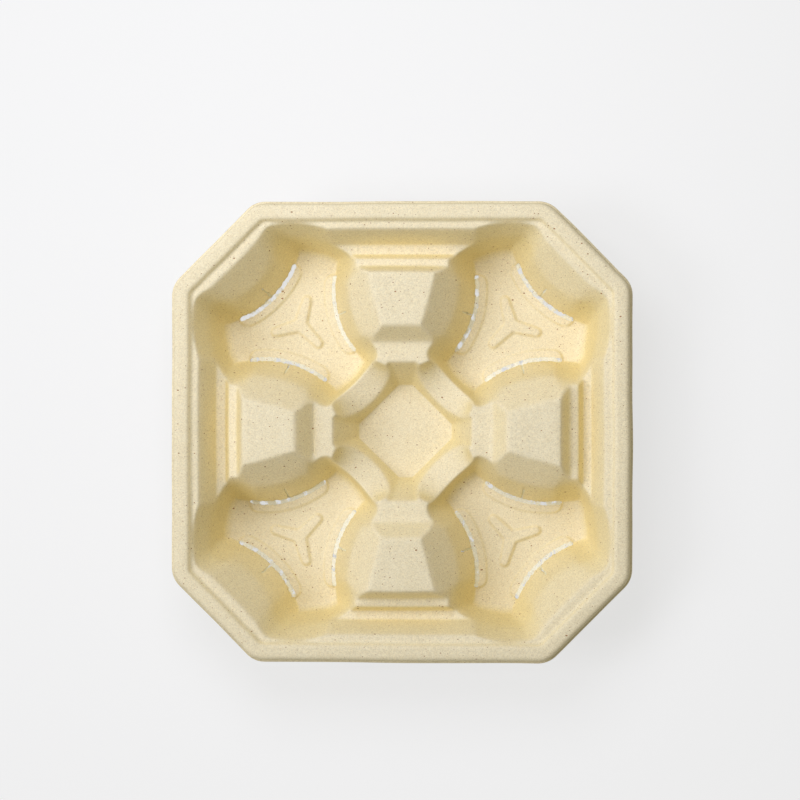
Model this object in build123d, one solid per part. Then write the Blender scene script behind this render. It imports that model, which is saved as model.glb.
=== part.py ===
"""Moulded-fibre carrier tray for four cups: one sheet of pressed pulp.

Millimetres, +Z up.  The origin is the middle of the tray on the plane it rests on.
The sheet is the solid under the upper face less the solid under the lower face.
Both come from the same functions; `drop` is how far the face lies below the upper one.
"""
import os
from math import atan2, cos, degrees, hypot, radians, sin, sqrt, tan

from build123d import *

# the sheet
SHEET = 1.2                 # thickness of the pulp
HALF = 108.0                # half the width across the flats, to the lip's edge
HEIGHT = 45.0               # rim top above the table
CORNER_LEG = 39.1           # how much each cut corner takes off both sides
CORNER_ROUND = 12.0         # rounding of the eight outline corners at the lip

# rim, from the outside inwards
LIP_WIDTH = 0.9             # turned-out edge below the skirt
LIP_Z = 38.6                # upper face of that edge
SKIRT_LEAN = 6.0            # degrees
RIM_ROUND = 2.4             # outer edge of the rim top
RIM_INNER = 7.7             # inset of the rim top's inner edge
STEP_FOOT = 10.0            # inset of the foot of the small step
LEDGE_Z = 42.0              # ledge inside the rim

# profile of one side, outwards from the middle of the tray: distance, height
SADDLE_Z = 28.0             # low bridge next to the middle compartment
SADDLE_END = 42.3
BLOCK_IN = 50.0             # raised block between two cups
BLOCK_OUT = 74.9
BLOCK_Z = 40.0
RIDGE_IN = 77.8             # narrow step outside the block
RIDGE_OUT = 81.4
RIDGE_Z = 31.0
VALLEY_IN = 83.4            # trough along the side wall
VALLEY_OUT = 88.2
VALLEY_Z = 25.0
LEDGE_IN = 95.0             # ledge's inner edge on the straight sides
SIDE_REACH = 40.0           # half-length of the side profile, ends inside the pockets
PROFILE_ROUND = 1.6         # rounding of the profile's corners

# pocket for one cup
POCKET_XY = 50.85           # centre of a pocket from the tray's middle, both ways
FLOOR_R = 36.3              # radius of the wall at the floor
WAIST_R = 41.4              # radius where the wall starts to open
WAIST_Z = 26.0
MOUTH_R = 47.0              # radius at the ledge
FLOOR_ROUND = 5.0           # between floor and wall

# the three fingers that lean into a pocket, seen along the finger's own direction
FINGER_FIRST = 45.0         # one points at the cut corner, the others 120 degrees on
FINGER_HALF = 20.0          # half-width at the floor
FINGER_WAIST = 16.8         # half-width where the lower face meets the upper one
FINGER_WIDE = 19.8          # half-width at the block's height
FINGER_FOOT = 17.6          # foot of the bulged lower face, from the pocket's centre
FINGER_BREAK = 27.0         # where the lower face meets the flat upper one
FINGER_BREAK_Z = 24.0
FINGER_TOP = 40.0           # flat upper face at the block's height
CORNER_TOP = 37.8           # the same on the finger that points at the cut corner
BULGE_R = 45.0              # plan radius of the lower face
SHOULDER_IN = 6.0           # degrees over which the shoulder turns into the round wall
SHOULDER_OUT = 9.0
SECTION_ANGLES = (-60, -54, -49, -45, -41, -37, -32, -26, -18, -9,
                  0, 9, 18, 26, 32, 37, 41, 45, 49, 54)

# curved slots at the fingers' feet
SLOT_MID = 18.4             # from the pocket's centre
SLOT_HALF = 18.1            # half-length across the finger
SLOT_WIDTH = 2.0
SLOT_TOP = 4.2              # how far up the finger's face a slot reaches
SLIT_WIDTH = 0.9            # short slit above the middle of a slot
SLIT_LENGTH = 5.8           # in plan
LIP_BESIDE = 4.2            # raised lip beside a slot
LIP_HALF = 14.9             # half-length of the lip's middle line
LIP_HEIGHT = 1.3

# raised Y on each floor
Y_ARM = 12.2                # from the middle to the centre of an arm's round end
Y_MID_R = 3.8               # half-width of an arm in the middle
Y_END_R = 2.8               # radius of its end
Y_HEIGHT = 1.3
RELIEF_LEAN = 42.0          # degrees, sides of the raised Y and lips

# bumps in the valleys
PIN_PITCH = 14.6
PIN_R = 0.7
PIN_HEIGHT = 0.4

# compartment in the middle
MIDDLE_FLAT = 22.2          # floor: distance of the four short ends
MIDDLE_END = 3.4            # half-length of a short end
MIDDLE_TOP_FLAT = 33.0      # the same two at the saddle's height
MIDDLE_TOP_END = 6.4

# dip between each pocket and the middle: a cone lying on the saddle's height, along the diagonal
DIP_NEAR = 19.0             # where it starts, from the tray's middle
DIP_NEAR_R = 19.8
DIP_FAR = 45.0              # where it ends, inside the pocket
DIP_FAR_R = 9.3

FAR = 60.0                  # height cavities are carried up to, well above the rim
DEEP = -12.0                # depth solids are carried down to before they are cut


def octagon(inset, rounding):
    """Outline of the tray moved inwards by `inset`."""
    half = HALF - inset
    run = half - (CORNER_LEG - inset * (2 - sqrt(2)))
    corners = [(half, -run), (half, run), (run, half), (-run, half),
               (-half, run), (-half, -run), (-run, -half), (run, -half)]
    face = make_face(Polyline(*corners, close=True))
    return fillet(face.vertices(), rounding)


def tapered(inset, z_from, z_to, inset_to):
    """Solid between two outlines, larger or smaller towards the top."""
    lean = degrees(atan2(inset_to - inset, z_to - z_from))
    face = octagon(inset, max(3.0, CORNER_ROUND - inset))
    return Pos(0, 0, z_from) * extrude(face, amount=z_to - z_from, taper=lean)


def lowered(inset, slope, drop):
    """Inset of a leaning wall's foot after the face has moved down and out by `drop`."""
    return inset - drop * hypot(1, slope) + drop * slope


def rim_recess(drop):
    """Open space above the step and the ledge inside the rim."""
    slope = (STEP_FOOT - RIM_INNER) / (HEIGHT - LEDGE_Z)
    foot = lowered(STEP_FOOT, slope, drop)
    bottom = LEDGE_Z - drop
    top = HEIGHT + 1
    return tapered(foot, bottom, top, foot - slope * (top - bottom))


def side_cavity(drop):
    """Open space above the profile of one side, carried across the side."""
    line = [(0, SADDLE_Z), (SADDLE_END, SADDLE_Z), (BLOCK_IN, BLOCK_Z), (BLOCK_OUT, BLOCK_Z),
            (RIDGE_IN, RIDGE_Z), (RIDGE_OUT, RIDGE_Z), (VALLEY_IN, VALLEY_Z),
            (VALLEY_OUT, VALLEY_Z), (LEDGE_IN, LEDGE_Z)]
    face = make_face(Polyline(*line, (LEDGE_IN, FAR), (0, FAR), close=True))
    inner = [v for v in face.vertices() if v.X > 1 and v.Y < LEDGE_Z - 1]
    face = fillet(inner, PROFILE_ROUND)
    if drop:
        face = offset(face, amount=drop, kind=Kind.INTERSECTION)
    upright = Plane(origin=(0, SIDE_REACH, 0), x_dir=(1, 0, 0), z_dir=(0, -1, 0))
    return extrude(upright * face, amount=2 * SIDE_REACH)


def between(z, levels):
    """Value at height z on a line through (height, value) pairs, carried on at both ends."""
    low, high = levels[0], levels[1]
    for pair in zip(levels[1:], levels[2:]):
        if z > pair[0][0]:
            low, high = pair
    return low[1] + (high[1] - low[1]) * (z - low[0]) / (high[0] - low[0])


def lobe_share(angle, z, top):
    """0 on the face of a finger, 1 on the round wall between two fingers."""
    front, bulge = finger_front(z, top)
    half = between(z, [(0, FINGER_HALF), (FINGER_BREAK_Z, FINGER_WAIST), (BLOCK_Z, FINGER_WIDE)])
    shoulder = degrees(atan2(half, front + half ** 2 / (2 * bulge)))
    share = (angle - shoulder + SHOULDER_IN) / (SHOULDER_IN + SHOULDER_OUT)
    share = min(1.0, max(0.0, share))
    return share * share * (3 - 2 * share)


def finger_front(z, top):
    """Distance of a finger's middle from the pocket's centre, and its plan radius."""
    front = between(z, [(0, FINGER_FOOT), (FINGER_BREAK_Z, FINGER_BREAK), (BLOCK_Z, top)])
    return front, between(z, [(0, BULGE_R), (FINGER_BREAK_Z, 1.6 * BULGE_R), (BLOCK_Z, 8 * BULGE_R)])


def wall_radius(angle, z, top):
    """Distance of the upper face from a pocket's centre.

    `angle` is measured from the direction of the nearest finger, 0 to 60 degrees, and
    `top` is that finger's distance at the block's height.
    """
    turn = radians(angle)
    round_wall = between(z, [(SHEET, FLOOR_R), (WAIST_Z, WAIST_R), (LEDGE_Z, MOUTH_R)])
    front, bulge = finger_front(z, top)
    centre = front + bulge
    face = centre * cos(turn) - sqrt(max(0.0, bulge ** 2 - (centre * sin(turn)) ** 2))
    share = lobe_share(angle, z, top)
    return min(face, round_wall) * (1 - share) + round_wall * share


def pocket_section(rise, drop):
    """Plan outline of the open space of a pocket, `rise` above the face's own floor."""
    z = SHEET - drop + rise
    radius = FLOOR_ROUND + drop
    inset = radius - sqrt(radius ** 2 - max(0.0, radius - rise) ** 2)

    def reach(angle, top):
        here = wall_radius(angle, z, top)
        lean = (wall_radius(angle, z + 0.1, top) - wall_radius(angle, z - 0.1, top)) / 0.2
        low, high = max(0.0, angle - 0.5), min(60.0, angle + 0.5)
        swing = (wall_radius(high, z, top) - wall_radius(low, z, top)) / radians(high - low) / here
        return here + drop * sqrt(1 + lean ** 2 + swing ** 2) - inset * lobe_share(angle, z, top)

    points = []
    for k, top in enumerate((CORNER_TOP, FINGER_TOP, FINGER_TOP)):
        for step in SECTION_ANGLES:
            turn = radians(FINGER_FIRST + 120 * k + step)
            out = reach(abs(step), top)
            points.append((out * cos(turn), out * sin(turn)))
    return Pos(0, 0, z) * make_face(Spline(*points, periodic=True))


def pocket(drop):
    """Open space of one cup pocket, its centre at the origin."""
    rises = [0, 0.6, 2, FLOOR_ROUND + drop, 13, 19, 23, 27, 34, LEDGE_Z - SHEET, LEDGE_Z + 5]
    return loft([pocket_section(rise, drop) for rise in rises])


def middle(drop):
    """Open space of the compartment in the middle."""
    def outline(flat, end):
        reach = [(flat, -end), (flat, end), (end, flat), (-end, flat),
                 (-flat, end), (-flat, -end), (-end, -flat), (end, -flat)]
        return make_face(Polyline(*reach, close=True))

    rise = SADDLE_Z - SHEET
    flat_slope = (MIDDLE_TOP_FLAT - MIDDLE_FLAT) / rise
    side = (MIDDLE_FLAT + MIDDLE_END) / sqrt(2)
    side_slope = ((MIDDLE_TOP_FLAT + MIDDLE_TOP_END) / sqrt(2) - side) / rise

    def level(z):
        flat = MIDDLE_FLAT + flat_slope * (z - SHEET) + drop * hypot(1, flat_slope)
        diagonal = side + side_slope * (z - SHEET) + drop * hypot(1, side_slope)
        return Pos(0, 0, z) * outline(flat, diagonal * sqrt(2) - flat)

    return loft([level(SHEET - drop), level(SADDLE_Z + 6)], ruled=True)


def dip(drop):
    """Round dip from the middle to the first pocket, along the diagonal."""
    length = DIP_FAR - DIP_NEAR
    more = drop * hypot(1, (DIP_NEAR_R - DIP_FAR_R) / length)
    cone = Cone(DIP_NEAR_R + more, DIP_FAR_R + more, length,
                align=(Align.CENTER, Align.CENTER, Align.MIN))
    return Rot(0, 0, 45) * Pos(DIP_NEAR, 0, SADDLE_Z) * Rot(0, 90, 0) * Rot(0, 0, 180) * cone


def along_finger(k):
    return Rot(0, 0, FINGER_FIRST + 120 * k)


def slot_outline(half, width):
    """Curved band at a finger's foot, the finger pointing along +X."""
    sag = BULGE_R - sqrt(BULGE_R ** 2 - half ** 2)
    line = ThreePointArc((SLOT_MID + sag, -half), (SLOT_MID, 0), (SLOT_MID + sag, half))
    return SlotArc(line, width)


def y_arm(drop):
    """Plan outline of one arm of the raised Y along +X: two circles and their tangents."""
    middle_r, end_r = Y_MID_R - drop, Y_END_R - drop
    lean = (middle_r - end_r) / Y_ARM
    side = sqrt(1 - lean ** 2)
    root = (middle_r * lean, middle_r * side)
    tip = (Y_ARM + end_r * lean, end_r * side)
    root_below, tip_below = (root[0], -root[1]), (tip[0], -tip[1])
    outline = Line(root_below, tip_below) + ThreePointArc(tip_below, (Y_ARM + end_r, 0), tip)
    outline += Line(tip, root) + ThreePointArc(root, (-middle_r, 0), root_below)
    return make_face(outline)


def floor_relief(drop):
    """Raised Y and the raised lips round the slots, to be left standing on the floor."""
    floor = Pos(0, 0, SHEET - drop)
    arm = extrude(floor * y_arm(drop), amount=Y_HEIGHT, taper=RELIEF_LEAN)
    band = slot_outline(LIP_HALF, SLOT_WIDTH + 2 * (LIP_BESIDE - drop))
    lip = extrude(floor * band, amount=LIP_HEIGHT, taper=RELIEF_LEAN)
    shapes = []
    for k in range(3):
        shapes += [along_finger(k) * Rot(0, 0, 60) * arm, along_finger(k) * lip]
    return shapes


def slots():
    """Cutters for the slots and the slits above them."""
    cutters = []
    for k in range(3):
        turn = along_finger(k)
        band = Pos(0, 0, DEEP) * slot_outline(SLOT_HALF, SLOT_WIDTH)
        cutters.append(turn * extrude(band, amount=SLOT_TOP - DEEP))
        slit = Pos(SLOT_MID + SLIT_LENGTH / 2, 0, 0) * Box(SLIT_LENGTH, SLIT_WIDTH, 2 * HEIGHT)
        cutters.append(turn * slit)
    return cutters


def cavities(drop):
    """Open spaces that reach into the first quarter."""
    cup = pocket(drop) - floor_relief(drop)
    side = side_cavity(drop)
    return [rim_recess(drop), side, Rot(0, 0, 90) * side, middle(drop), dip(drop),
            Pos(POCKET_XY, POCKET_XY, 0) * cup]


def hood(drop):
    """Rim and skirt filled up inside, with its faces moved in by `drop`."""
    slope = tan(radians(SKIRT_LEAN))
    foot = LIP_WIDTH + drop * hypot(1, slope)
    top = HEIGHT - drop
    body = tapered(foot, LIP_Z, top, foot + slope * (top - LIP_Z))
    rim = body.faces().sort_by(Axis.Z)[-1].edges()
    return fillet(rim, RIM_ROUND - drop)


def first_quarter(body):
    size = 2 * HALF
    return body & Pos(size / 2, size / 2, 0) * Box(size, size, 4 * FAR)


def upper_body():
    """Everything below the upper face in one quarter, with the turned-out lip."""
    lip = tapered(0, LIP_Z - SHEET, LIP_Z, 0)
    core_inset = LIP_WIDTH + 3 * SHEET
    core = tapered(core_inset, DEEP, LIP_Z, core_inset)
    body = first_quarter(hood(0) + lip + core)
    for cavity in cavities(0):
        body = body - cavity
    return body


def lower_body():
    """Everything below the lower face in one quarter."""
    foot = LIP_WIDTH + SHEET * hypot(1, tan(radians(SKIRT_LEAN)))
    body = first_quarter(hood(SHEET) + tapered(foot, DEEP - SHEET, LIP_Z, foot))
    for cavity in cavities(SHEET):
        body = body - cavity
    return body


def pins():
    """Small bumps the mould's screen leaves in the valleys of the first quarter."""
    across = (VALLEY_IN + VALLEY_OUT) / 2
    marks = []
    for k in range(2):
        along = PIN_PITCH * (k + 0.5)
        for x, y in ((across, along), (along, across)):
            marks.append(Pos(x, y, VALLEY_Z - SHEET / 2) * Cylinder(
                PIN_R, SHEET / 2 + PIN_HEIGHT, align=(Align.CENTER, Align.CENTER, Align.MIN)))
    return marks


def tray():
    quarter = upper_body() - lower_body()
    quarter = quarter - [Pos(POCKET_XY, POCKET_XY, 0) * cutter for cutter in slots()]
    quarter = quarter + pins()
    half = quarter + mirror(quarter, about=Plane.YZ)
    return half + mirror(half, about=Plane.XZ)


if __name__ == "__main__":
    os.makedirs("parts", exist_ok=True)
    export_step(tray(), "parts/carrier_tray.step")
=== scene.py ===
"""Dressed cup carrier tray: a pressed pulp sheet with torn slots, on a pale studio floor."""
import math
import random

import bpy
import numpy as np
from mathutils import Matrix, Vector
from mathutils.geometry import delaunay_2d_cdt


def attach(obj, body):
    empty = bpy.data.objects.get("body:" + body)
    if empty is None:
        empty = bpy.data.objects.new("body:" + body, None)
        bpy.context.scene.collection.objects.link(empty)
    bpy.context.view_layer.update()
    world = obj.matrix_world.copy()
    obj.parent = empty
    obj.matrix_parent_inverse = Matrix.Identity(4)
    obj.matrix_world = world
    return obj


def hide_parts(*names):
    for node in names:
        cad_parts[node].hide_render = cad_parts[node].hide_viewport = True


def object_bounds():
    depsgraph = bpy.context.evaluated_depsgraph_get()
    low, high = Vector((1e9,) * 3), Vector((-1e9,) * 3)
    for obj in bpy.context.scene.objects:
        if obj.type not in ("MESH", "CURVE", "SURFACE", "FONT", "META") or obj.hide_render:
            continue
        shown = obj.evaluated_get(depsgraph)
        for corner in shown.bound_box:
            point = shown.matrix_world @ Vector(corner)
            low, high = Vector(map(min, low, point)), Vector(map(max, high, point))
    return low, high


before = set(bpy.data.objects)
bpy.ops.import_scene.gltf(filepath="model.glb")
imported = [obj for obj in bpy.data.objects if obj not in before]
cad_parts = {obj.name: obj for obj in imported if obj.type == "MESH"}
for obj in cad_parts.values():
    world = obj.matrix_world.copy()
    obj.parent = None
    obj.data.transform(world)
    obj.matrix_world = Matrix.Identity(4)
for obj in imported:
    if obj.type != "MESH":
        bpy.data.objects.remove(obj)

cad_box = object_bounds()
MM = 0.001

# sizes in millimetres: the overall ones from the frame, nearly all others as in the part's source
SHEET = 1.2
HALF = round(cad_box[1][0] / MM, 3)
HEIGHT = round(cad_box[1][2] / MM, 3)
CORNER_LEG = 39.1
CORNER_ROUND = 12.0
LIP_WIDTH = 0.9
LIP_Z = 38.6
SKIRT_TOP = 1.57            # inset of the skirt at the rim's height
RIM_INNER = 7.7
STEP_FOOT = 10.0
LEDGE_Z = 42.0
LEDGE_IN = 95.0
SADDLE_Z = 28.0
SADDLE_END = 42.3
BLOCK_IN = 50.0
BLOCK_OUT = 74.9
BLOCK_Z = 40.0
RIDGE_IN = 77.8
RIDGE_OUT = 81.4
RIDGE_Z = 31.0
VALLEY_IN = 83.4
VALLEY_OUT = 88.2
VALLEY_Z = 25.0
SIDE_REACH = 40.0
SIDE_END = 97.0
POCKET_XY = 50.85
FLOOR_R = 36.3
WAIST_R = 41.4
WAIST_Z = 26.0
MOUTH_R = 47.0
FLOOR_ROUND = 5.0
FINGER_FIRST = 45.0
FINGER_HALF = 20.0
FINGER_WAIST = 16.8
FINGER_WIDE = 19.8
FINGER_FOOT = 17.6
FINGER_BREAK = 27.0
FINGER_BREAK_Z = 24.0
FINGER_TOP = 40.0
CORNER_TOP = 37.8
BULGE_R = 45.0
SHOULDER_IN = 6.0
SHOULDER_OUT = 9.0
SLOT_MID = 18.4
SLOT_HALF = 18.1
SLOT_WIDTH = 2.0
SLIT_LENGTH = 5.8
SLIT_HALF = 0.45
LIP_BESIDE = 4.2
LIP_HALF = 14.9
Y_ARM = 12.2
Y_MID_R = 3.8
Y_END_R = 2.8
LIP_HEIGHT = 1.3
PIN_PITCH = 14.6
PIN_R = 0.7
MIDDLE_FLAT = 22.2
MIDDLE_END = 3.4
MIDDLE_TOP_FLAT = 33.0
MIDDLE_TOP_END = 6.4
DIP_NEAR = 19.0
DIP_NEAR_R = 19.8
DIP_FAR = 45.0
DIP_FAR_R = 9.3

# relief that only the scene has, or draws stronger than the part's source
Y_HEIGHT = 1.8
FLANK = 1.4                 # width of the sides of the raised Y
LIP_EDGE = 1.0              # width of a lip's steep edge; from there it rises slowly to the slot
LIP_SLOPE = 0.15
PIN_HEIGHT = 0.5
RELIEF_BELOW = 6.0          # the relief ends this far up the pocket's wall
RELIEF_FADE = 3.0
CREASE_AT = 42.6            # deep crease at the foot of the left block
CREASE_HALF = 1.7
CREASE_END = 13.5
CREASE_DEPTH = 1.3
RIDGE_SHIFT = ((1, 0, 1.6), (0, -1, 1.1), (-1, 0, 0.7), (0, 1, 0.2))   # side, how far out
SHIFT_FROM = 75.0           # the moved ridge and trough lie between these distances
SHIFT_TO = 92.0
SHIFT_ALONG = 44.0

# softening and unevenness of the pressed sheet
FLOOR_BLUR = 0.25
WALL_BLUR = 0.5
WALL_FROM = 4.0             # height where the walls' stronger blur begins
WALL_OVER = 5.0
SHARP_RIM = 9.0             # nearer to the outline than this the rim keeps its exact profile
THINNEST = 0.4
UNEVEN = 0.16
WARP = 0.22
FRAY = 0.32                 # wandering of the torn slot edges
FRAY_REACH = 0.9

# torn film and strands in the slots
SEEN_OPEN = ((0.5, 0.35, 0.2), (0.85, 0.04, 0.3), (0.3, 0.12, 0.3), (0.25, 0.1, 0.3))
SLIT_OPEN = 0.18            # share of each slit that is open; SEEN_OPEN has it for each slot
FILM_CELL = 0.25
FILM_WIDE = 1.3             # film's half-width over that of the slot
FILM_BELOW = 0.30           # film's upper face under the sheet's
FILM_THICK = 0.3
FILM_STEP = 1.4             # most that the film climbs across a slot
SLIT_FILM_HALF = 0.65
SLIT_BELOW = 1.3
STRANDS = 60
STRAND_LENGTH = (0.7, 2.3)
STRAND_RADIUS = (0.05, 0.13)
STRAND_ROOT = 0.35
STRAND_STEPS = 4

OPEN = 99.0                 # height that stands for "nothing here" in a cavity's field
SQ2 = math.sqrt(2)
QUARTERS = ((1, 1), (-1, 1), (-1, -1), (1, -1))
SHARP_ANGLE = 58            # degrees between faces that stay a sharp edge

# the outline moved in by its corner radius: how far its sides and diagonals lie, and where they meet
CORE_HALF = HALF - CORNER_ROUND
CORE_DIAG = (2 * HALF - CORNER_LEG) / SQ2 - CORNER_ROUND
CORE_CORNER = CORE_DIAG * SQ2 - CORE_HALF


# profiles
def rounded(points, radii):
    """Polyline through points with each inner corner rounded, as x and y arrays."""
    out = [points[0]]
    for (a, b, c), radius in zip(zip(points, points[1:], points[2:]), radii):
        a, b, c = map(np.array, (a, b, c))
        u, v = (a - b) / np.linalg.norm(a - b), (c - b) / np.linalg.norm(c - b)
        half = math.acos(max(-1, min(1, float(u @ v)))) / 2
        reach = radius / math.tan(half)
        centre = b + (u + v) / np.linalg.norm(u + v) * radius / math.sin(half)
        start, end = b + u * reach - centre, b + v * reach - centre
        turn = math.pi - 2 * half
        side = 1 if start[0] * end[1] - start[1] * end[0] > 0 else -1
        for k in range(9):
            t = side * turn * k / 8
            out.append((centre[0] + start[0] * math.cos(t) - start[1] * math.sin(t),
                        centre[1] + start[0] * math.sin(t) + start[1] * math.cos(t)))
    out.append(points[-1])
    return np.array(out).T


RIM = rounded([(-1, LIP_Z - 0.3), (0, LIP_Z - 0.3), (0.35, LIP_Z), (LIP_WIDTH, LIP_Z),
               (SKIRT_TOP, HEIGHT), (RIM_INNER + 0.5, HEIGHT), (STEP_FOOT - 0.3, LEDGE_Z - 0.5),
               (STEP_FOOT + 0.6, LEDGE_Z), (60, LEDGE_Z)],
              [0.1, 0.1, 0.15, 2.4, 1.9, 0.3, 0.5])
SIDE = rounded([(-1, SADDLE_Z), (SADDLE_END, SADDLE_Z), (BLOCK_IN, BLOCK_Z), (BLOCK_OUT, BLOCK_Z),
                (RIDGE_IN, RIDGE_Z), (RIDGE_OUT, RIDGE_Z), (VALLEY_IN, VALLEY_Z),
                (VALLEY_OUT, VALLEY_Z), (LEDGE_IN, LEDGE_Z), (SIDE_END, LEDGE_Z)],
               [1.6, 1.8, 1.5, 1.0, 1.0, 1.0, 2.2, 1.3])


def inset_of(x, y):
    """How far inside the tray's outline a point lies."""
    x, y = np.abs(x), np.abs(y)
    dist = np.maximum(np.maximum(x - CORE_HALF, y - CORE_HALF), (x + y) / SQ2 - CORE_DIAG)
    for vx, vy, sx, sy in ((CORE_HALF, CORE_CORNER, 0, 1), (CORE_CORNER, CORE_HALF, 1, 0)):
        wx, wy = x - vx, y - vy
        along_side = wx * sx + wy * sy
        along_diag = (wx * (-1 if vx > vy else 1) + wy * (1 if vx > vy else -1)) / SQ2
        dist = np.where((along_side > 0) & (along_diag < 0), np.hypot(wx, wy), dist)
    return CORNER_ROUND - dist


# pocket walls
def between(z, heights, values):
    """Piecewise line carried on at both ends."""
    z = np.asarray(z, float)
    out = np.interp(z, heights, values)
    low = (values[1] - values[0]) / (heights[1] - heights[0])
    high = (values[-1] - values[-2]) / (heights[-1] - heights[-2])
    out = np.where(z < heights[0], values[0] + low * (z - heights[0]), out)
    return np.where(z > heights[-1], values[-1] + high * (z - heights[-1]), out)


def smooth(t):
    """Soft step from 0 to 1, level at both ends."""
    t = np.clip(t, 0, 1)
    return t * t * (3 - 2 * t)


def wall_radius(angle, z, top):
    """Distance of the upper face from a pocket's centre, and how much of it is round wall."""
    turn = np.radians(angle)
    round_wall = between(z, [SHEET, WAIST_Z, LEDGE_Z], [FLOOR_R, WAIST_R, MOUTH_R])
    front = between(z, [0, FINGER_BREAK_Z, BLOCK_Z], [FINGER_FOOT, FINGER_BREAK, top])
    bulge = between(z, [0, FINGER_BREAK_Z, BLOCK_Z], [BULGE_R, 1.6 * BULGE_R, 8 * BULGE_R])
    centre = front + bulge
    face = centre * np.cos(turn) - np.sqrt(np.maximum(0, bulge ** 2 - (centre * np.sin(turn)) ** 2))
    half = between(z, [0, FINGER_BREAK_Z, BLOCK_Z], [FINGER_HALF, FINGER_WAIST, FINGER_WIDE])
    shoulder = np.degrees(np.arctan2(half, front + half ** 2 / (2 * bulge)))
    share = smooth((angle - shoulder + SHOULDER_IN) / (SHOULDER_IN + SHOULDER_OUT))
    return np.minimum(face, round_wall) * (1 - share) + round_wall * share, share


TABLE_R_STEP = 0.1          # millimetres
TABLE_A_STEP = 0.5          # degrees
TABLE_R = np.arange(0, 62, TABLE_R_STEP)
TABLE_A = np.arange(0, 60.5, TABLE_A_STEP)


def pocket_table(top):
    """Height of the pocket's face by distance and angle."""
    rises = np.concatenate([np.linspace(0, 5, 60), np.linspace(5.2, 56, 160)])
    table = np.zeros((len(TABLE_A), len(TABLE_R)))
    for k, angle in enumerate(TABLE_A):
        radius, share = wall_radius(angle, SHEET + rises, top)
        inset = FLOOR_ROUND - np.sqrt(FLOOR_ROUND ** 2 - np.maximum(0, FLOOR_ROUND - rises) ** 2)
        radius = np.maximum.accumulate(radius - inset * share) + rises * 1e-5
        table[k] = np.interp(TABLE_R, radius, SHEET + rises, left=SHEET)
    return table


CORNER_POCKET, BLOCK_POCKET = pocket_table(CORNER_TOP), pocket_table(FINGER_TOP)


def at_index(field, i, j):
    """Field at fractional indices, held at its last row and column."""
    i = np.clip(i, 0, field.shape[0] - 1.001)
    j = np.clip(j, 0, field.shape[1] - 1.001)
    i0, j0 = i.astype(int), j.astype(int)
    fi, fj = i - i0, j - j0
    low = field[i0, j0] * (1 - fj) + field[i0, j0 + 1] * fj
    high = field[i0 + 1, j0] * (1 - fj) + field[i0 + 1, j0 + 1] * fj
    return low * (1 - fi) + high * fi


def pocket_field(x, y):
    """Height of the pocket's face, x and y from its centre."""
    r = np.hypot(x, y)
    turn = (np.degrees(np.arctan2(y, x)) - FINGER_FIRST + 180) % 360 - 180
    corner = np.abs(turn) < 60
    i, j = np.abs((turn + 60) % 120 - 60) / TABLE_A_STEP, r / TABLE_R_STEP
    face = np.where(corner, at_index(CORNER_POCKET, i, j), at_index(BLOCK_POCKET, i, j))
    return np.where(r > TABLE_R[-2], OPEN, face)


def finger_turn(k):
    """Cosine and sine of a finger's direction from the pocket's centre."""
    turn = math.radians(FINGER_FIRST + 120 * k)
    return math.cos(turn), math.sin(turn)


def finger_frames(x, y):
    """The point in each finger's own frame: along it and across it."""
    for k in range(3):
        c, s = finger_turn(k)
        yield x * c + y * s, y * c - x * s


ARC_HALF = math.asin(SLOT_HALF / BULGE_R)


def slot_distance(along, across, half=SLOT_HALF):
    """Distance from a slot's middle line, carried half its length to both sides."""
    cx = SLOT_MID + BULGE_R
    dx = cx - along
    arc = math.asin(half / BULGE_R)
    turn = np.clip(np.arctan2(across, dx), -arc, arc)
    return np.hypot(along - (cx - BULGE_R * np.cos(turn)), across - BULGE_R * np.sin(turn))


def relief(x, y):
    """Raised Y and the raised lips beside the slots, above the pocket's floor."""
    rise = np.zeros_like(x)
    for along, across in finger_frames(x, y):
        lip = slot_distance(along, across, LIP_HALF)
        inside = SLOT_WIDTH / 2 + LIP_BESIDE - lip
        lip = LIP_HEIGHT * np.clip(inside / LIP_EDGE, 0, 1) + LIP_SLOPE * np.maximum(0, inside - LIP_EDGE)
        rise = np.maximum(rise, lip)
        t = np.clip(-along / Y_ARM, 0, 1)
        d = np.hypot(along + t * Y_ARM, across) - (Y_MID_R + (Y_END_R - Y_MID_R) * t)
        rise = np.maximum(rise, Y_HEIGHT * np.clip(-d / FLANK, 0, 1))
    return rise


# height fields
STEP = 0.25
REACH = 112.0
AXIS = np.arange(0, REACH + STEP / 2, STEP)


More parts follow.
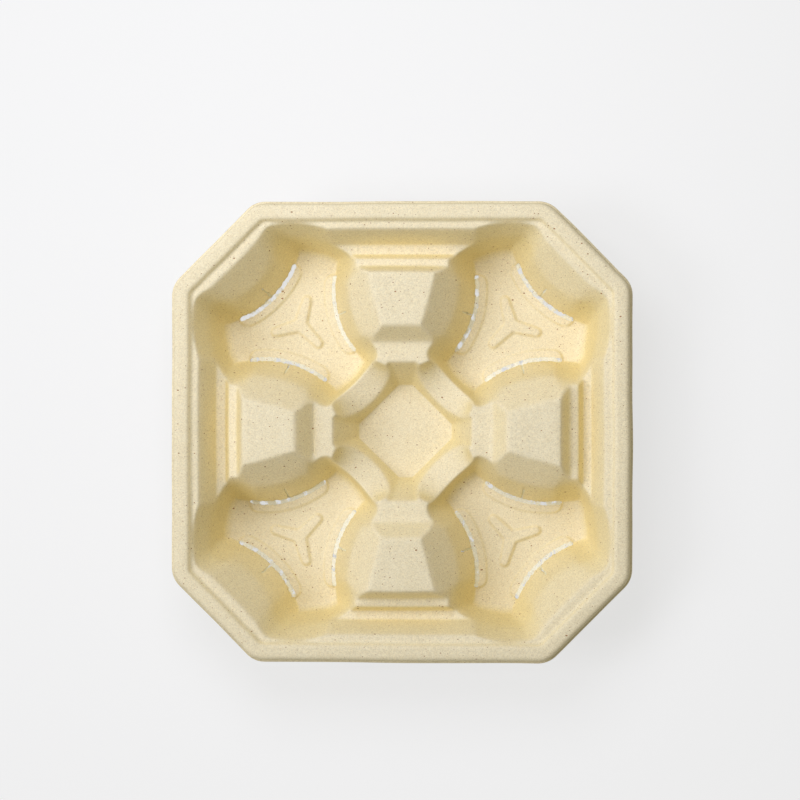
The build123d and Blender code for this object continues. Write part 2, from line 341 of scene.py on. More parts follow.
def raw_field(x, y):
    """Upper face over the first quarter before its edges are softened."""
    hi, lo = np.maximum(x, y), np.minimum(x, y)
    z = np.interp(inset_of(x, y), *RIM)
    side = np.where((lo < SIDE_REACH) & (hi < SIDE_END), np.interp(hi, *SIDE), OPEN)
    z = np.minimum(z, side)
    rise = SADDLE_Z - SHEET
    diag_foot = (MIDDLE_FLAT + MIDDLE_END) / SQ2
    diag_top = (MIDDLE_TOP_FLAT + MIDDLE_TOP_END) / SQ2
    flat = SHEET + (hi - MIDDLE_FLAT) * rise / (MIDDLE_TOP_FLAT - MIDDLE_FLAT)
    diag = SHEET + ((x + y) / SQ2 - diag_foot) * rise / (diag_top - diag_foot)
    middle = np.maximum(SHEET, np.maximum(flat, diag))
    z = np.minimum(z, middle)
    along, across = (x + y) / SQ2, (x - y) / SQ2
    radius = DIP_NEAR_R + (DIP_FAR_R - DIP_NEAR_R) * (along - DIP_NEAR) / (DIP_FAR - DIP_NEAR)
    inside = (np.abs(across) < radius) & (along > DIP_NEAR) & (along < DIP_FAR)
    dip = SADDLE_Z - np.sqrt(np.maximum(0, radius ** 2 - across ** 2))
    z = np.minimum(z, np.where(inside, dip, OPEN))
    px, py = x - POCKET_XY, y - POCKET_XY
    pocket = pocket_field(px, py)
    near = np.minimum(1, np.maximum(0, (RELIEF_BELOW - pocket + SHEET) / RELIEF_FADE))
    pocket = np.maximum(pocket, SHEET + relief(px, py) * near)
    z = np.minimum(z, pocket)
    return z


def blur(field, sigma):
    """Gaussian blur of the quarter, mirrored at both middle planes."""
    radius = int(3 * sigma / STEP) + 1
    kernel = np.exp(-0.5 * (np.arange(-radius, radius + 1) * STEP / sigma) ** 2)
    kernel /= kernel.sum()
    for axis in (0, 1):
        field = np.swapaxes(field, 0, axis)
        padded = np.concatenate([field[1:radius + 1][::-1], field, np.repeat(field[-1:], radius, 0)])
        field = sum(w * padded[k:k + len(field)] for k, w in enumerate(kernel))
        field = np.swapaxes(field, 0, axis)
    return field


def upper_raster():
    """Upper face of the quarter, softened as by the press, with the pin marks."""
    x, y = np.meshgrid(AXIS, AXIS, indexing="ij")
    raw = raw_field(x, y)
    fine, soft = blur(raw, FLOOR_BLUR), blur(raw, WALL_BLUR)
    share = smooth((soft - WALL_FROM) / WALL_OVER)
    field = fine * (1 - share) + soft * share
    rim = smooth((SHARP_RIM - inset_of(x, y)) / 1.5)
    field = field * (1 - rim) + raw * rim
    for k in range(2):
        for cx, cy in (((VALLEY_IN + VALLEY_OUT) / 2, PIN_PITCH * (k + 0.5)),
                       (PIN_PITCH * (k + 0.5), (VALLEY_IN + VALLEY_OUT) / 2)):
            field = field + PIN_HEIGHT * smooth((PIN_R + 0.35 - np.hypot(x - cx, y - cy)) / 0.8)
    return field


def under_raster(upper):
    """Lower face: the upper one moved in by the sheet's thickness everywhere."""
    n = int(SHEET / STEP) + 1
    lower = np.full_like(upper, OPEN)
    padded = np.pad(upper, n, mode="reflect")
    for i in range(-n, n + 1):
        for j in range(-n, n + 1):
            d = math.hypot(i, j) * STEP
            if d <= SHEET:
                shifted = padded[n + i:n + i + len(upper), n + j:n + j + len(upper)]
                lower = np.minimum(lower, shifted - math.sqrt(SHEET ** 2 - d ** 2))
    return np.maximum(lower, 0.0)


UPPER = upper_raster()
LOWER = under_raster(UPPER)


SKY_EVERY = 4
SKY_TURNS = 16
SKY_LOOKS = (1, 2, 3, 4, 6, 8, 11, 15, 20, 26, 34)      # steps of the coarser raster


def sky_raster():
    """Share of the sky that each point of a coarser raster sees over its surroundings; it sets where the
    pulp's material paints shade.
    """
    field = UPPER[::SKY_EVERY, ::SKY_EVERY]
    reach = SKY_LOOKS[-1] + 2
    padded = np.pad(field, ((reach, 0), (reach, 0)), mode="reflect")
    padded = np.pad(padded, ((0, reach), (0, reach)), mode="edge")
    n = len(field)
    total = np.zeros_like(field)
    for k in range(SKY_TURNS):
        turn = math.tau * k / SKY_TURNS
        rise = np.zeros_like(field)
        for away in SKY_LOOKS:
            i, j = round(away * math.cos(turn)), round(away * math.sin(turn))
            there = padded[reach + i:reach + i + n, reach + j:reach + j + n]
            rise = np.maximum(rise, (there - field) / (math.hypot(i, j) * STEP * SKY_EVERY))
        total += 1 / (1 + rise ** 2)
    return total / SKY_TURNS


SKY = sky_raster()


def sample(field, x, y, step=STEP):
    """Field between raster points, folded into the first quarter."""
    return at_index(field, np.abs(x) / step, np.abs(y) / step)


# plan of points
def octagon_ring(inset, spacing):
    """Points along the tray's outline in the first quarter, moved in by inset."""
    radius = CORNER_ROUND - inset
    path = [(CORE_HALF + radius, 0.0), (CORE_HALF + radius, CORE_CORNER)]
    for centre, start in (((CORE_HALF, CORE_CORNER), 0), ((CORE_CORNER, CORE_HALF), 45)):
        count = max(2, int(round(math.radians(45) * max(radius, 2) / spacing)) + 1)
        for k in range(1, count + 1):
            t = math.radians(start + 45 * k / count)
            path.append((centre[0] + radius * math.cos(t), centre[1] + radius * math.sin(t)))
        if start == 0:
            t = math.radians(45)
            path.append((CORE_CORNER + radius * math.cos(t), CORE_HALF + radius * math.sin(t)))
    path.append((0.0, CORE_HALF + radius))
    points = []
    for a, b in zip(path, path[1:]):
        length = math.hypot(b[0] - a[0], b[1] - a[1])
        count = max(1, int(round(length / spacing)))
        points += [(a[0] + (b[0] - a[0]) * k / count, a[1] + (b[1] - a[1]) * k / count)
                   for k in range(count)]
    return points + [path[-1]]


def round_end(side, half_w):
    """Points around one end of a slot, side -1 or 1, in the finger's frame."""
    ex = SLOT_MID + BULGE_R - BULGE_R * math.cos(ARC_HALF)
    ey = side * BULGE_R * math.sin(ARC_HALF)
    ux, uy = side * math.cos(ARC_HALF), -math.sin(ARC_HALF)
    vx, vy = math.sin(ARC_HALF), side * math.cos(ARC_HALF)
    turns = [math.pi * i / 6 for i in range(1, 6)]
    return [(ex + half_w * (ux * math.cos(t) + vx * math.sin(t)),
             ey + half_w * (uy * math.cos(t) + vy * math.sin(t))) for t in turns]


def slot_loop(k, spacing=0.45):
    """Outline of one slot with its slit, in the quarter's frame, anticlockwise."""
    half_w = SLOT_WIDTH / 2
    cx = SLOT_MID + BULGE_R
    outer, inner = BULGE_R + half_w, BULGE_R - half_w      # outer is nearer the pocket's centre
    count = int(2 * ARC_HALF * BULGE_R / spacing)
    turns = [ARC_HALF - 2 * ARC_HALF * i / count for i in range(count + 1)]
    pts = [(cx - outer * math.cos(t), outer * math.sin(t)) for t in turns]
    pts += round_end(-1, half_w)
    slit_turn = math.asin(SLIT_HALF / inner)
    below = [-ARC_HALF + (ARC_HALF - slit_turn) * i / (count // 2) for i in range(count // 2 + 1)]
    pts += [(cx - inner * math.cos(t), inner * math.sin(t)) for t in below]
    end = SLOT_MID + SLIT_LENGTH - SLIT_HALF
    start = cx - inner
    steps = 9
    pts += [(start + (end - start) * i / steps, -SLIT_HALF) for i in range(1, steps + 1)]
    pts += [(end + SLIT_HALF * math.cos(t), SLIT_HALF * math.sin(t))
            for t in (-math.pi / 4, 0, math.pi / 4)]
    pts += [(end - (end - start) * i / steps, SLIT_HALF) for i in range(steps)]
    pts += [(cx - inner * math.cos(t), -inner * math.sin(t)) for t in below[::-1]]
    pts += round_end(1, half_w)
    c, s = finger_turn(k)
    return [(POCKET_XY + x * c - y * s, POCKET_XY + x * s + y * c) for x, y in pts]


def inside_loop(points, loop):
    """Which of the points lie inside a closed loop."""
    x, y = points[:, 0], points[:, 1]
    inside = np.zeros(len(points), bool)
    for (ax, ay), (bx, by) in zip(loop, loop[1:] + loop[:1]):
        crosses = (ay > y) != (by > y)
        with np.errstate(divide="ignore", invalid="ignore"):
            inside ^= crosses & (x < (bx - ax) * (y - ay) / (by - ay) + ax)
    return inside


def quadtree(field, size=4.0, smallest=0.5, tolerance=0.09, tallest=9.0):
    """Corners of cells small enough to follow the field."""
    found = set()
    cells = [(i * size, j * size, size) for i in range(int(REACH / size))
             for j in range(int(REACH / size))]
    while cells:
        x0, y0, size = cells.pop()
        i, j, n = int(round(x0 / STEP)), int(round(y0 / STEP)), int(round(size / STEP))
        block = field[i:i + n + 1, j:j + n + 1]
        u = np.linspace(0, 1, n + 1)
        flat = (block[0, 0] * np.outer(1 - u, 1 - u) + block[-1, 0] * np.outer(u, 1 - u)
                + block[0, -1] * np.outer(1 - u, u) + block[-1, -1] * np.outer(u, u))
        rise = np.ptp(block)
        error = np.abs(block - flat).max() / math.hypot(1, rise / size)
        rough = error > tolerance or rise > tallest
        if rough and size > smallest:
            half = size / 2
            cells += [(x0, y0, half), (x0 + half, y0, half), (x0, y0 + half, half),
                      (x0 + half, y0 + half, half)]
        else:
            found |= {(i, j), (i + n, j), (i, j + n), (i + n, j + n)}
    return np.array(sorted(found)) * STEP


RING_SPACING = 2.0
RING_GAP = 0.35             # least distance from the last ring to a point inside it
LOOP_GAP = 0.3              # the same from a slot's edge
BATCH = 2000                # points compared with a slot's edge at a time, to save memory
RINGS = [0.0, 0.45, 0.85, 1.08, 1.25, 1.42, 1.6, 1.85, 2.3, 2.9, 3.7, 4.8, 6.0, 6.9, 7.6,
         8.3, 9.0, 9.7, 10.5]


def inner_points(loops):
    """Quadtree points that keep clear of the rings and the slots."""
    inner = quadtree(UPPER)
    keep = inset_of(inner[:, 0], inner[:, 1]) > RINGS[-1] + RING_GAP
    for loop in loops:
        keep &= ~inside_loop(inner, loop)
        edge = np.array(loop)
        for lo in range(0, len(inner), BATCH):
            part = inner[lo:lo + BATCH]
            gap = np.hypot(part[:, None, 0] - edge[None, :, 0], part[:, None, 1] - edge[None, :, 1])
            keep[lo:lo + BATCH] &= gap.min(axis=1) > LOOP_GAP
    return inner[keep]


def turned_up(verts, faces):
    """The triangles without slivers, each anticlockwise seen from above."""
    a, b, c = (verts[faces[:, k]] for k in range(3))
    area = (b[:, 0] - a[:, 0]) * (c[:, 1] - a[:, 1]) - (b[:, 1] - a[:, 1]) * (c[:, 0] - a[:, 0])
    wide = np.abs(area) > 1e-7
    faces, area = faces[wide], area[wide]
    faces[area < 0] = faces[area < 0][:, ::-1]
    return faces


def plan():
    """Points and triangles of one quarter, seen from above, with the slots left open."""
    rings = [octagon_ring(inset, RING_SPACING) for inset in RINGS]
    loops = [slot_loop(k) for k in range(3)]
    inner = inner_points(loops)
    points = [Vector(p) for p in inner]
    edges = []
    for ring in rings:
        first = len(points)
        points += [Vector(p) for p in ring]
        edges += [(first + k, first + k + 1) for k in range(len(ring) - 1)]
    outline = rings[0]
    first = len(points)
    points.append(Vector((0.0, 0.0)))
    start = len(inner)
    edges += [(first, start), (start + len(outline) - 1, first)]
    for loop in loops:
        first = len(points)
        points += [Vector(p) for p in loop]
        edges += [(first + k, first + (k + 1) % len(loop)) for k in range(len(loop))]
    verts, _, faces, *_ = delaunay_2d_cdt(points, edges, [], 0, 1e-5)
    verts = np.array([tuple(v) for v in verts])
    faces = np.array([tuple(f) for f in faces])
    middle = verts[faces].mean(axis=1)
    good = (inset_of(middle[:, 0], middle[:, 1]) > 0.0) & (middle.min(axis=1) > 0)
    for loop in loops:
        good &= ~inside_loop(middle, loop)
    return verts, turned_up(verts, faces[good])


# the sheet
def waves(x, y, seed, shortest, longest, count=14):
    """Smooth uneven field between -1 and 1, the same on every run."""
    draw = random.Random(seed)
    total = np.zeros_like(x)
    for _ in range(count):
        turn, phase = draw.uniform(0, math.tau), draw.uniform(0, math.tau)
        pitch = math.tau / draw.uniform(shortest, longest)
        total += np.sin((x * math.cos(turn) + y * math.sin(turn)) * pitch + phase)
    return np.clip(total / (1.6 * math.sqrt(count)), -1, 1)


def rim_under():
    """Lower face below the rim and the skirt, by inset."""
    x = np.arange(-1, 14, 0.02)
    top = np.interp(x, *RIM)
    out = np.full_like(x, OPEN)
    for k in range(-60, 61):
        shifted = np.interp(x + k * 0.02, *RIM)
        out = np.minimum(out, shifted - math.sqrt(max(0, SHEET ** 2 - (k * 0.02) ** 2)))
    return x, np.minimum(out, top - THINNEST)


RIM_UNDER = rim_under()


def heights(x, y):
    """Upper and lower face over plan points of the whole tray."""
    inset = inset_of(x, y)
    share = smooth((SHARP_RIM + 0.6 - inset) / 0.8)
    upper = sample(UPPER, x, y) * (1 - share) + np.interp(inset, *RIM) * share
    lower = sample(LOWER, x, y) * (1 - share) + np.interp(inset, *RIM_UNDER) * share
    crease = np.maximum(0, 1 - ((-x - CREASE_AT) / CREASE_HALF) ** 2)
    crease = crease * smooth((CREASE_END - np.abs(y)) / 3)
    upper = upper - CREASE_DEPTH * crease
    return upper, np.minimum(lower, upper - THINNEST)


def pressed_out(x, y):
    """The ridge and trough sit further out on some sides than on others, as on the real tray."""
    moved_x, moved_y = x.copy(), y.copy()
    for sx, sy, shift in RIDGE_SHIFT:
        out, along = x * sx + y * sy, np.abs(x * sy + y * sx)
        share = smooth((out - SHIFT_FROM) / 4.5) * smooth((SHIFT_TO - out) / 7.0)
        share = share * smooth((SHIFT_ALONG - along) / 10.0)
        moved_x += sx * shift * share
        moved_y += sy * shift * share
    return moved_x, moved_y


def place(x, y, z):
    """Uneven moulding: plan and height wander a little, never out of the true box."""
    x, y = pressed_out(x, y)
    share = smooth((z - 4) / 16)
    z = z + UNEVEN * (waves(x, y, seed=11, shortest=22, longest=80) + 1 - 2 * share) * smooth(z / 0.8 + 0.5)
    moved_x = x * (1 - WARP / HALF) + WARP * waves(x, y, seed=23, shortest=18, longest=90)
    moved_y = y * (1 - WARP / HALF) + WARP * waves(x, y, seed=37, shortest=18, longest=90)
    return np.stack([moved_x, moved_y, z], axis=1) * MM


def whole_plan():
    """Four mirrored quarters joined at the middle planes."""
    verts, faces = plan()
    all_verts, all_faces = [], []
    for k, (sx, sy) in enumerate(QUARTERS):
        all_verts.append(verts * (sx, sy))
        turned = faces if sx * sy > 0 else faces[:, ::-1]
        all_faces.append(turned + k * len(verts))
    verts, faces = np.concatenate(all_verts), np.concatenate(all_faces)
    verts[np.abs(verts) < 1e-4] = 0.0
    _, first, back = np.unique(np.round(verts, 3), axis=0, return_index=True, return_inverse=True)
    return verts[first], back.reshape(-1)[faces]


def mark_sky(made):
    """Keep the share of open sky on the mesh, for the painted shade in the material."""
    spots = np.zeros(len(made.data.vertices) * 3, np.float32)
    made.data.vertices.foreach_get("co", spots)
    spots = spots.reshape(-1, 3) / MM
    sky = sample(SKY, spots[:, 0], spots[:, 1], STEP * SKY_EVERY)
    layer = made.data.attributes.new("open_sky", "FLOAT", "POINT")
    layer.data.foreach_set("value", sky.astype(np.float32))


def mesh_object(name, verts, faces, sharp=None):
    """Smooth-shaded object of triangles, with edges over the sharp angle kept sharp."""
    mesh = bpy.data.meshes.new(name)
    mesh.vertices.add(len(verts))
    mesh.vertices.foreach_set("co", np.asarray(verts, np.float32).ravel())
    mesh.loops.add(faces.size)
    mesh.loops.foreach_set("vertex_index", faces.astype(np.int32).ravel())
    mesh.polygons.add(len(faces))
    mesh.polygons.foreach_set("loop_start", np.arange(0, faces.size, 3, dtype=np.int32))
    mesh.polygons.foreach_set("use_smooth", np.ones(len(faces), bool))
    mesh.update(calc_edges=True)
    mesh.validate()
    if sharp:
        mesh.set_sharp_from_angle(angle=math.radians(sharp))
    made = bpy.data.objects.new(name, mesh)
    bpy.context.collection.objects.link(made)
    mark_sky(made)
    return made


def side_walls(faces, count):
    """Triangles that join the open edges of an upper face to the same edges count points on."""
    edges = {}
    for a, b, c in faces.tolist():
        edges[(a, b)] = edges[(b, c)] = edges[(c, a)] = 1
    rim = np.array([e for e in edges if (e[1], e[0]) not in edges])
    a, b = rim[:, 0], rim[:, 1]
    return np.concatenate([np.stack([b, a, a + count], 1), np.stack([b, a + count, b + count], 1)])


def pulp_sheet():
    """The whole pressed sheet, upper and lower face, with torn edges at its slots."""
    verts, faces = whole_plan()
    x, y = verts[:, 0].copy(), verts[:, 1].copy()
    # points near a slot wander in plan before their height is read
    px, py = np.abs(x) - POCKET_XY, np.abs(y) - POCKET_XY
    near = np.full(len(x), OPEN)
    for along, across in finger_frames(px, py):
        slit = np.hypot(along - np.clip(along, SLOT_MID, SLOT_MID + SLIT_LENGTH), across) - SLIT_HALF
        near = np.minimum(near, np.minimum(slot_distance(along, across) - SLOT_WIDTH / 2, slit))
    pull = FRAY * smooth(1 - near / FRAY_REACH)
    x += pull * waves(x, y, seed=5, shortest=0.7, longest=3.0, count=24)
    y += pull * waves(x, y, seed=7, shortest=0.7, longest=3.0, count=24)
    upper, lower = heights(x, y)
    n = len(verts)
    points = np.concatenate([place(x, y, upper), place(x, y, lower)])
    faces = np.concatenate([faces, faces[:, ::-1] + n, side_walls(faces, n)])
    return mesh_object("pulp_tray", points, faces, SHARP_ANGLE)


# strands and film in the slots
def strand(draw, loop):
    """Rings of points along one torn strand that stands out from a slot's edge."""
    i = draw.randrange(len(loop))
    ax, ay = loop[i]
    bx, by = loop[(i + 1) % len(loop)]
    run = math.hypot(bx - ax, by - ay)
    nx, ny = (by - ay) / run, -(bx - ax) / run        # out of the loop
    turn = draw.gauss(0, 0.8)
    c, s = math.cos(turn), math.sin(turn)
    dx, dy = -(nx * c - ny * s), -(nx * s + ny * c)
    length = draw.uniform(*STRAND_LENGTH)
    thick = draw.uniform(*STRAND_RADIUS)
    curl = draw.gauss(0, 0.45)
    sx, sy = ax - dx * STRAND_ROOT, ay - dy * STRAND_ROOT
    up, low = heights(np.array([sx]), np.array([sy]))
    z = low[0] + (min(up[0], low[0] + 2.2) - low[0]) * draw.uniform(0.2, 0.85)
    rise = draw.uniform(-0.25, 0.35)
    rings = []
    for step in range(STRAND_STEPS + 1):
        t = step / STRAND_STEPS
        bend = curl * t
        ux = dx * math.cos(bend) - dy * math.sin(bend)
        uy = dx * math.sin(bend) + dy * math.cos(bend)
        cx, cy = sx + ux * length * t, sy + uy * length * t
        cz = max(0.15, z + rise * t * length)
        r = thick * (1 - 0.75 * t)
        rings.append([(cx - uy * r * math.cos(q), cy + ux * r * math.cos(q), cz + r * math.sin(q))
                      for q in (math.pi / 2, math.pi / 2 + math.tau / 3, math.pi / 2 - math.tau / 3)])
    return rings


def tube_faces(base, rings):
    """Triangles of a closed three-sided tube whose first point is base."""
    last = base + 3 * (rings - 1)
    made = [(base, base + 1, base + 2), (last, last + 2, last + 1)]
    for step in range(rings - 1):
        for q in range(3):
            a, b = base + 3 * step + q, base + 3 * step + (q + 1) % 3
            made += [(a, a + 3, b + 3), (a, b + 3, b)]
    return made


def fibres():
    """Torn fibre strands at all slots' edges."""
    draw = random.Random(3)
    verts, faces = [], []
    for sx, sy in QUARTERS:
        for k in range(3):
            loop = slot_loop(k)
            for _ in range(STRANDS):
                rings = strand(draw, loop)
                made = tube_faces(len(verts), len(rings))
                faces += made if sx * sy > 0 else [f[::-1] for f in made]
                verts += [(px * sx, py * sy, pz) for ring in rings for px, py, pz in ring]
    verts = np.array(verts)
    return mesh_object("slot_fibres", place(verts[:, 0], verts[:, 1], verts[:, 2]), np.array(faces))


def torn_patch(along, across, top, open_share, seed):
    """Two-sided patch of film over a grid of points, with ragged holes."""
    x, y = along.ravel(), across.ravel()
    draw = waves(x, y, seed, 2.5, 9, 10) + 0.45 * waves(x, y, seed + 1, 0.6, 1.6, 20)
    holes = draw < np.quantile(draw, open_share)
    x = x + 0.09 * waves(x, y, seed + 2, 0.4, 0.9)
    y = y + 0.09 * waves(x, y, seed + 3, 0.4, 0.9)
    index = np.arange(along.size).reshape(along.shape)
    corners = np.stack([index[:-1, :-1], index[1:, :-1], index[1:, 1:], index[:-1, 1:]], -1).reshape(-1, 4)
    corners = corners[holes[corners].sum(axis=1) < 3]
    faces = np.concatenate([corners[:, [0, 1, 2]], corners[:, [0, 2, 3]]])
    z = top.ravel()
    points = np.stack([np.tile(x, 2), np.tile(y, 2), np.concatenate([z, z - FILM_THICK])], 1)
    return points, np.concatenate([faces, faces[:, ::-1] + along.size, side_walls(faces, along.size)])


def upper_at(along, across, c, s):
    """Upper face at points given in the frame of the finger that points to c, s."""
    return heights(POCKET_XY + along * c - across * s, POCKET_XY + along * s + across * c)[0]


def slot_patch(c, s, open_share, seed):
    """Film across one slot, hung between the floor and the finger's foot."""
    cx = SLOT_MID + BULGE_R
    arc = np.linspace(ARC_HALF + 0.012, -ARC_HALF - 0.012, int(2 * SLOT_HALF / FILM_CELL))
    arc, out = np.meshgrid(arc, np.linspace(FILM_WIDE, -FILM_WIDE, 11), indexing="ij")
    radius = BULGE_R + SLOT_WIDTH / 2 * out
    along, across = cx - radius * np.cos(arc), radius * np.sin(arc)
    edge = SLOT_WIDTH / 2 + 0.5
    floor_side = upper_at(cx - (BULGE_R + edge) * np.cos(arc), (BULGE_R + edge) * np.sin(arc), c, s)
    wall_side = upper_at(cx - (BULGE_R - edge) * np.cos(arc), (BULGE_R - edge) * np.sin(arc), c, s)
    wall_side = np.minimum(wall_side, floor_side + FILM_STEP)
    share = (out + FILM_WIDE) / (2 * FILM_WIDE)
    top = floor_side * share + wall_side * (1 - share) - FILM_BELOW
    return torn_patch(along, across, top, open_share, seed)


def slit_patch(c, s, seed):
    """Film across the slit above a slot."""
    along, across = np.meshgrid(np.arange(SLOT_MID + 0.8, SLOT_MID + SLIT_LENGTH + 0.3, 0.22),
                                np.linspace(-SLIT_FILM_HALF, SLIT_FILM_HALF, 6), indexing="ij")
    beside = np.full_like(along, 2 * SLIT_HALF)
    top = np.minimum(upper_at(along, beside, c, s), upper_at(along, -beside, c, s)) - SLIT_BELOW
    return torn_patch(along, across, top, SLIT_OPEN, seed)


def film():
    """Thin torn pulp that still closes parts of the slots and slits, each slot differently."""
    verts, faces, total = [], [], 0
    for quarter, (sx, sy) in enumerate(QUARTERS):
        for k, open_share in enumerate(SEEN_OPEN[quarter]):
            c, s = finger_turn(k)
            seed = 100 + 20 * (3 * quarter + k)
            for points, patch in (slot_patch(c, s, open_share, seed), slit_patch(c, s, seed + 10)):
                x = POCKET_XY + points[:, 0] * c - points[:, 1] * s
                y = POCKET_XY + points[:, 0] * s + points[:, 1] * c
                verts.append(np.stack([x * sx, y * sy, np.maximum(points[:, 2], 0.1)], 1))
                faces.append((patch if sx * sy > 0 else patch[:, ::-1]) + total)
                total += len(points)
    verts, faces = np.concatenate(verts), np.concatenate(faces)
    used, faces = np.unique(faces, return_inverse=True)
    verts, faces = verts[used], faces.reshape(-1, 3)
    return mesh_object("slot_film", place(verts[:, 0], verts[:, 1], verts[:, 2]), faces, SHARP_ANGLE)


# materials, colours in linear light
PULP = ((0.93, 0.845, 0.63, 1), (0.88, 0.78, 0.54, 1), (0.74, 0.61, 0.38, 1))      # pale, deep, fleck
TORN_FIBRE = ((0.88, 0.84, 0.74, 1), (0.74, 0.70, 0.62, 1), (0.55, 0.52, 0.47, 1))
# torn film: pale pulp, painted whiter still to stand in for the light that shows through the thin film
TORN_FILM_AND_PAINTED_LIGHT = ((0.96, 0.96, 0.90, 1), (0.92, 0.92, 0.82, 1), (0.74, 0.73, 0.62, 1))
PRESSED_FIBRE = (0.94, 0.88, 0.70, 1)
FIBRE_TURNS = (0.3, 1.4, 2.5)
SPECK = (0.30, 0.11, 0.015, 1)
# turn, cells to the metre, share of cells without a speck, strength
SPECK_LAYERS = ((0.9, 250.0, 0.90, 0.9), (0.2, 400.0, 0.62, 0.85), (1.2, 560.0, 0.55, 0.6),
                (2.3, 800.0, 0.50, 0.45))
# painted shade: darker golden tint multiplied into steep walls that see little open sky
PAINTED_HOLLOW_SHADE = (0.99, 0.95, 0.74, 1)
FLOOR_PAPER = (0.86, 0.87, 0.90, 1)
FLOOR_SHOWN = (0.965, 0.967, 0.975, 1)
SHOWN_SHARE = 0.70          # part of the floor's look that is plain colour for the camera


def new_material(name):
    material = bpy.data.materials.new(name)
    material.use_nodes = True
    material.node_tree.nodes.clear()
    return material, material.node_tree


def node(tree, kind, inputs=None, **settings):
    """New node; each input is a value or the socket that feeds it."""
    made = tree.nodes.new(kind)
    for key, value in settings.items():
        setattr(made, key, value)
    for key, value in (inputs or {}).items():
        fill(tree, made.inputs[key], value)
    return made


def fill(tree, socket, value):
    if isinstance(value, bpy.types.NodeSocket):
        tree.links.new(value, socket)
    else:
        socket.default_value = value


def ramp(tree, value, start, end, low=0.0, high=1.0):
    """Value carried from start..end to low..high, held at both ends."""
    return node(tree, "ShaderNodeMapRange", {0: value, 1: start, 2: end, 3: low, 4: high}).outputs[0]


def blend(tree, share, first, second, mode="MIX"):
    """Two colours mixed."""
    made = tree.nodes.new("ShaderNodeMix")
    made.data_type, made.blend_type = "RGBA", mode
    for index, value in ((0, share), (6, first), (7, second)):
        fill(tree, made.inputs[index], value)
    return made.outputs[2]


def grey(tree, value):
    return node(tree, "ShaderNodeCombineColor", {0: value, 1: value, 2: value}).outputs[0]


def maths(tree, kind, first, second=0.0, third=0.0):
    return node(tree, "ShaderNodeMath", {0: first, 1: second, 2: third}, operation=kind).outputs[0]


def noise(tree, at, scale, detail, rough=0.55):
    return node(tree, "ShaderNodeTexNoise",
                {"Vector": at, "Scale": scale, "Detail": detail, "Roughness": rough}).outputs["Fac"]


def pressed_fibres(tree, where, shade):
    """Short fibres in three directions, paler than the ground."""
    mask = None
    for k, turn in enumerate(FIBRE_TURNS):
        at = node(tree, "ShaderNodeMapping", {"Vector": where, "Rotation": (0.0, 0.0, turn),
                                              "Scale": (1.0, 7.0, 2.0), "Location": (k * 0.37, 0, 0)})
        streak = ramp(tree, noise(tree, at.outputs[0], 420, 1, 0.4), 0.64, 0.72)
        mask = streak if mask is None else maths(tree, "MAXIMUM", mask, streak)
    return blend(tree, maths(tree, "MULTIPLY", mask, 0.35), shade, PRESSED_FIBRE)


def specks(tree, where, shade):
    """Sparse brown specks of several sizes."""
    for turn, scale, empty, strength in SPECK_LAYERS:
        at = node(tree, "ShaderNodeMapping", {"Vector": where, "Rotation": (0.3, 0.2, turn),
                                              "Scale": (1.0, 1.7, 1.2)})
        cells = node(tree, "ShaderNodeTexVoronoi", {"Vector": at.outputs[0], "Scale": scale,
                                                    "Randomness": 1.0})
        drawn = node(tree, "ShaderNodeSeparateColor", {"Color": cells.outputs["Color"]})
        chosen = ramp(tree, drawn.outputs[0], empty, empty + 0.01)
        width = maths(tree, "MULTIPLY_ADD", drawn.outputs[1], 0.08, 0.07)
        dot = maths(tree, "LESS_THAN", cells.outputs["Distance"], width)
        dark = maths(tree, "MULTIPLY", maths(tree, "MULTIPLY", chosen, dot), strength)
        shade = blend(tree, dark, shade, SPECK)
    return shade


def paint_hollow_shade(tree, shade):
    """Painted shade: steep walls that see little open sky are tinted darker and more golden, standing in
    for light that has bounced between the walls of the hollows.
    """
    sky = node(tree, "ShaderNodeAttribute", attribute_name="open_sky").outputs["Fac"]
    facing = node(tree, "ShaderNodeNewGeometry").outputs["Normal"]
    level = maths(tree, "ABSOLUTE", node(tree, "ShaderNodeSeparateXYZ", {0: facing}).outputs[2])
    share = maths(tree, "MULTIPLY", ramp(tree, sky, 0.9, 0.5), ramp(tree, level, 0.95, 0.5))
    return blend(tree, share, shade, PAINTED_HOLLOW_SHADE, "MULTIPLY")


def pulp(name, pale, deep, fleck, grain=1.0):
    """Matt pressed pulp: clouded ground, grain, fibres, specks, painted shade in the hollows and a fine
    bump.
    """
    material, tree = new_material(name)
    where = node(tree, "ShaderNodeTexCoord").outputs["Object"]
    mottle, cloud = noise(tree, where, 160, 3), noise(tree, where, 38, 2)
    fine, grit = noise(tree, where, 1500, 2, 0.6), noise(tree, where, 620, 3, 0.65)
    shade = blend(tree, ramp(tree, mottle, 0.38, 0.64, 0.0, 0.25), pale, deep)
    shade = blend(tree, ramp(tree, cloud, 0.35, 0.68, 0.0, 0.15), shade, deep)
    shade = blend(tree, ramp(tree, grit, 0.40, 0.72, 0.0, 0.30), shade, fleck)
    shade = blend(tree, 1.0, shade, grey(tree, ramp(tree, fine, 0.30, 0.70, 0.86, 1.10)), "MULTIPLY")
    shade = pressed_fibres(tree, where, shade)
    shade = specks(tree, where, shade)
    # painted shade on steep walls in the hollows
    shade = paint_hollow_shade(tree, shade)
    height = maths(tree, "ADD", maths(tree, "MULTIPLY", grit, 0.8), maths(tree, "MULTIPLY", fine, 0.5))
    height = maths(tree, "ADD", height, maths(tree, "MULTIPLY", mottle, 0.9))
    bump = node(tree, "ShaderNodeBump", {"Height": height, "Strength": 0.5 * grain, "Distance": 0.00025})
    surface = node(tree, "ShaderNodeBsdfPrincipled",
                   {"Base Color": shade, "Roughness": 0.93, "Specular IOR Level": 0.18,
                    "Normal": bump.outputs[0]})
    node(tree, "ShaderNodeOutputMaterial", {0: surface.outputs[0]})
    return material


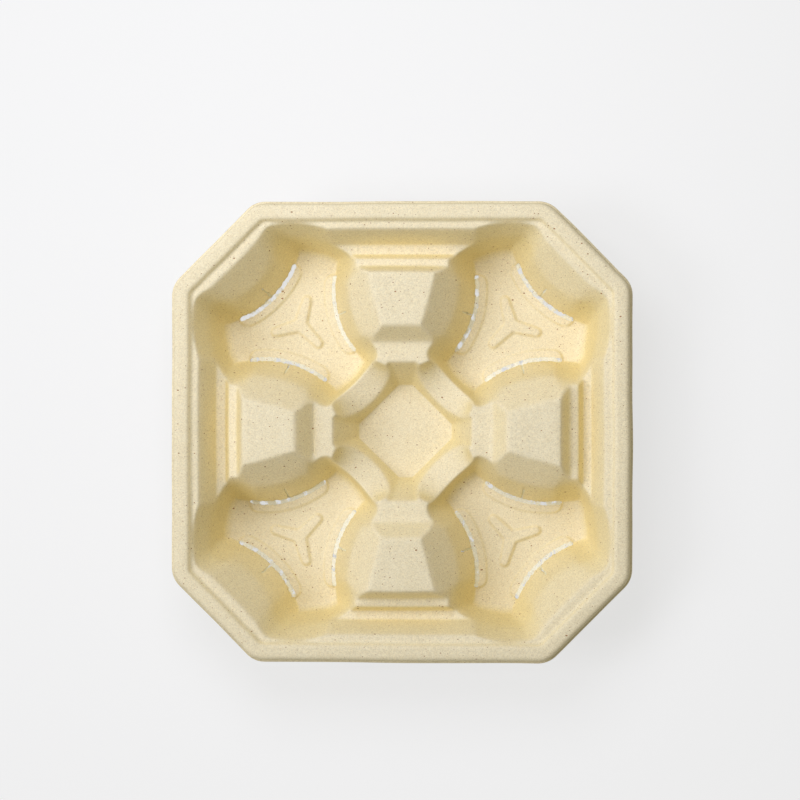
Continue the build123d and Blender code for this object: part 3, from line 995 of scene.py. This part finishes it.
def floor_paper(name):
    """Pale floor: it takes the shadow, and for the camera part of it is plain colour."""
    material, tree = new_material(name)
    cloth = node(tree, "ShaderNodeBsdfDiffuse", {"Color": FLOOR_PAPER})
    plain = node(tree, "ShaderNodeEmission", {"Color": FLOOR_SHOWN, "Strength": 1.0})
    path = node(tree, "ShaderNodeLightPath")
    part = maths(tree, "MULTIPLY", path.outputs["Is Camera Ray"], SHOWN_SHARE)
    both = node(tree, "ShaderNodeMixShader", {0: part, 1: cloth.outputs[0], 2: plain.outputs[0]})
    node(tree, "ShaderNodeOutputMaterial", {0: both.outputs[0]})
    return material


# the dressed tray
tray = pulp_sheet()
tray.data.materials.append(pulp("pulp", *PULP))
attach(tray, "root")
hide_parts("carrier_tray")

strands = fibres()
strands.data.materials.append(pulp("torn_fibre", *TORN_FIBRE, grain=0.2))
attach(strands, "root")

skin = film()
# the film's pale colour is partly its own and partly painted light showing through it
skin.data.materials.append(pulp("torn_film_and_painted_light", *TORN_FILM_AND_PAINTED_LIGHT, grain=0.6))
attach(skin, "root")

# floor, a little under the tray so that no two faces lie in one plane
FLOOR_SIZE = 30
FLOOR_DROP = 0.05
bpy.ops.mesh.primitive_plane_add(size=FLOOR_SIZE, location=(0, 0, -FLOOR_DROP * MM))
floor = bpy.context.object
floor.name = "floor"
floor.data.materials.append(floor_paper("floor_white"))

# light
LAMP_COLOUR = (1.0, 1.0, 1.06)
WORLD_COLOUR = (1.0, 0.94, 0.70, 1)
WORLD_STRENGTH = 0.26


def soft_lamp(name, turn, height, distance, size, energy):
    """Square lamp aimed at the tray: turn and height in degrees, the rest in metres and watts."""
    light = bpy.data.lights.new(name, "AREA")
    light.energy, light.size = energy, size
    light.color = LAMP_COLOUR
    made = bpy.data.objects.new(name, light)
    bpy.context.collection.objects.link(made)
    a, e = math.radians(turn), math.radians(height)
    made.location = (distance * math.cos(e) * math.cos(a), distance * math.cos(e) * math.sin(a),
                     distance * math.sin(e))
    made.rotation_euler = (-made.location).to_track_quat("-Z", "Y").to_euler()


soft_lamp("near_lamp", turn=110, height=62, distance=0.55, size=0.3, energy=1.33)
soft_lamp("window", turn=187, height=49, distance=2.2, size=0.88, energy=15.2)

world = bpy.data.worlds.new("studio")
bpy.context.scene.world = world
world.use_nodes = True
sky_light = world.node_tree.nodes["Background"]
sky_light.inputs[0].default_value = WORLD_COLOUR
sky_light.inputs[1].default_value = WORLD_STRENGTH

# camera, nearly overhead
CAMERA_HEIGHT = 1300.0      # above the tray's rim, in millimetres
PIXELS_PER_MM = 2.1513      # at the rim
PICTURE = 800.0             # pixels along a side
CENTRE = (400.45, 432.1)    # pixel where the middle of the rim's plane is seen
ROLL_Y, ROLL_Z = -0.057, -0.0014
SENSOR = 36.0
turned = Matrix.Rotation(ROLL_Z, 3, "Z") @ Matrix.Rotation(ROLL_Y, 3, "Y")
off = Vector((-(CENTRE[0] - PICTURE / 2) / PIXELS_PER_MM, (CENTRE[1] - PICTURE / 2) / PIXELS_PER_MM,
              CAMERA_HEIGHT))
eye = (Vector((0, 0, HEIGHT)) + turned.transposed() @ off) * MM
camera = bpy.data.cameras.new("camera")
camera.sensor_width = SENSOR
camera.lens = PIXELS_PER_MM * CAMERA_HEIGHT / PICTURE * SENSOR
camera_at = bpy.data.objects.new("camera", camera)
bpy.context.collection.objects.link(camera_at)
camera_at.matrix_world = Matrix.Translation(eye) @ turned.transposed().to_4x4()
bpy.context.scene.camera = camera_at
bpy.context.scene.view_settings.view_transform = "Standard"
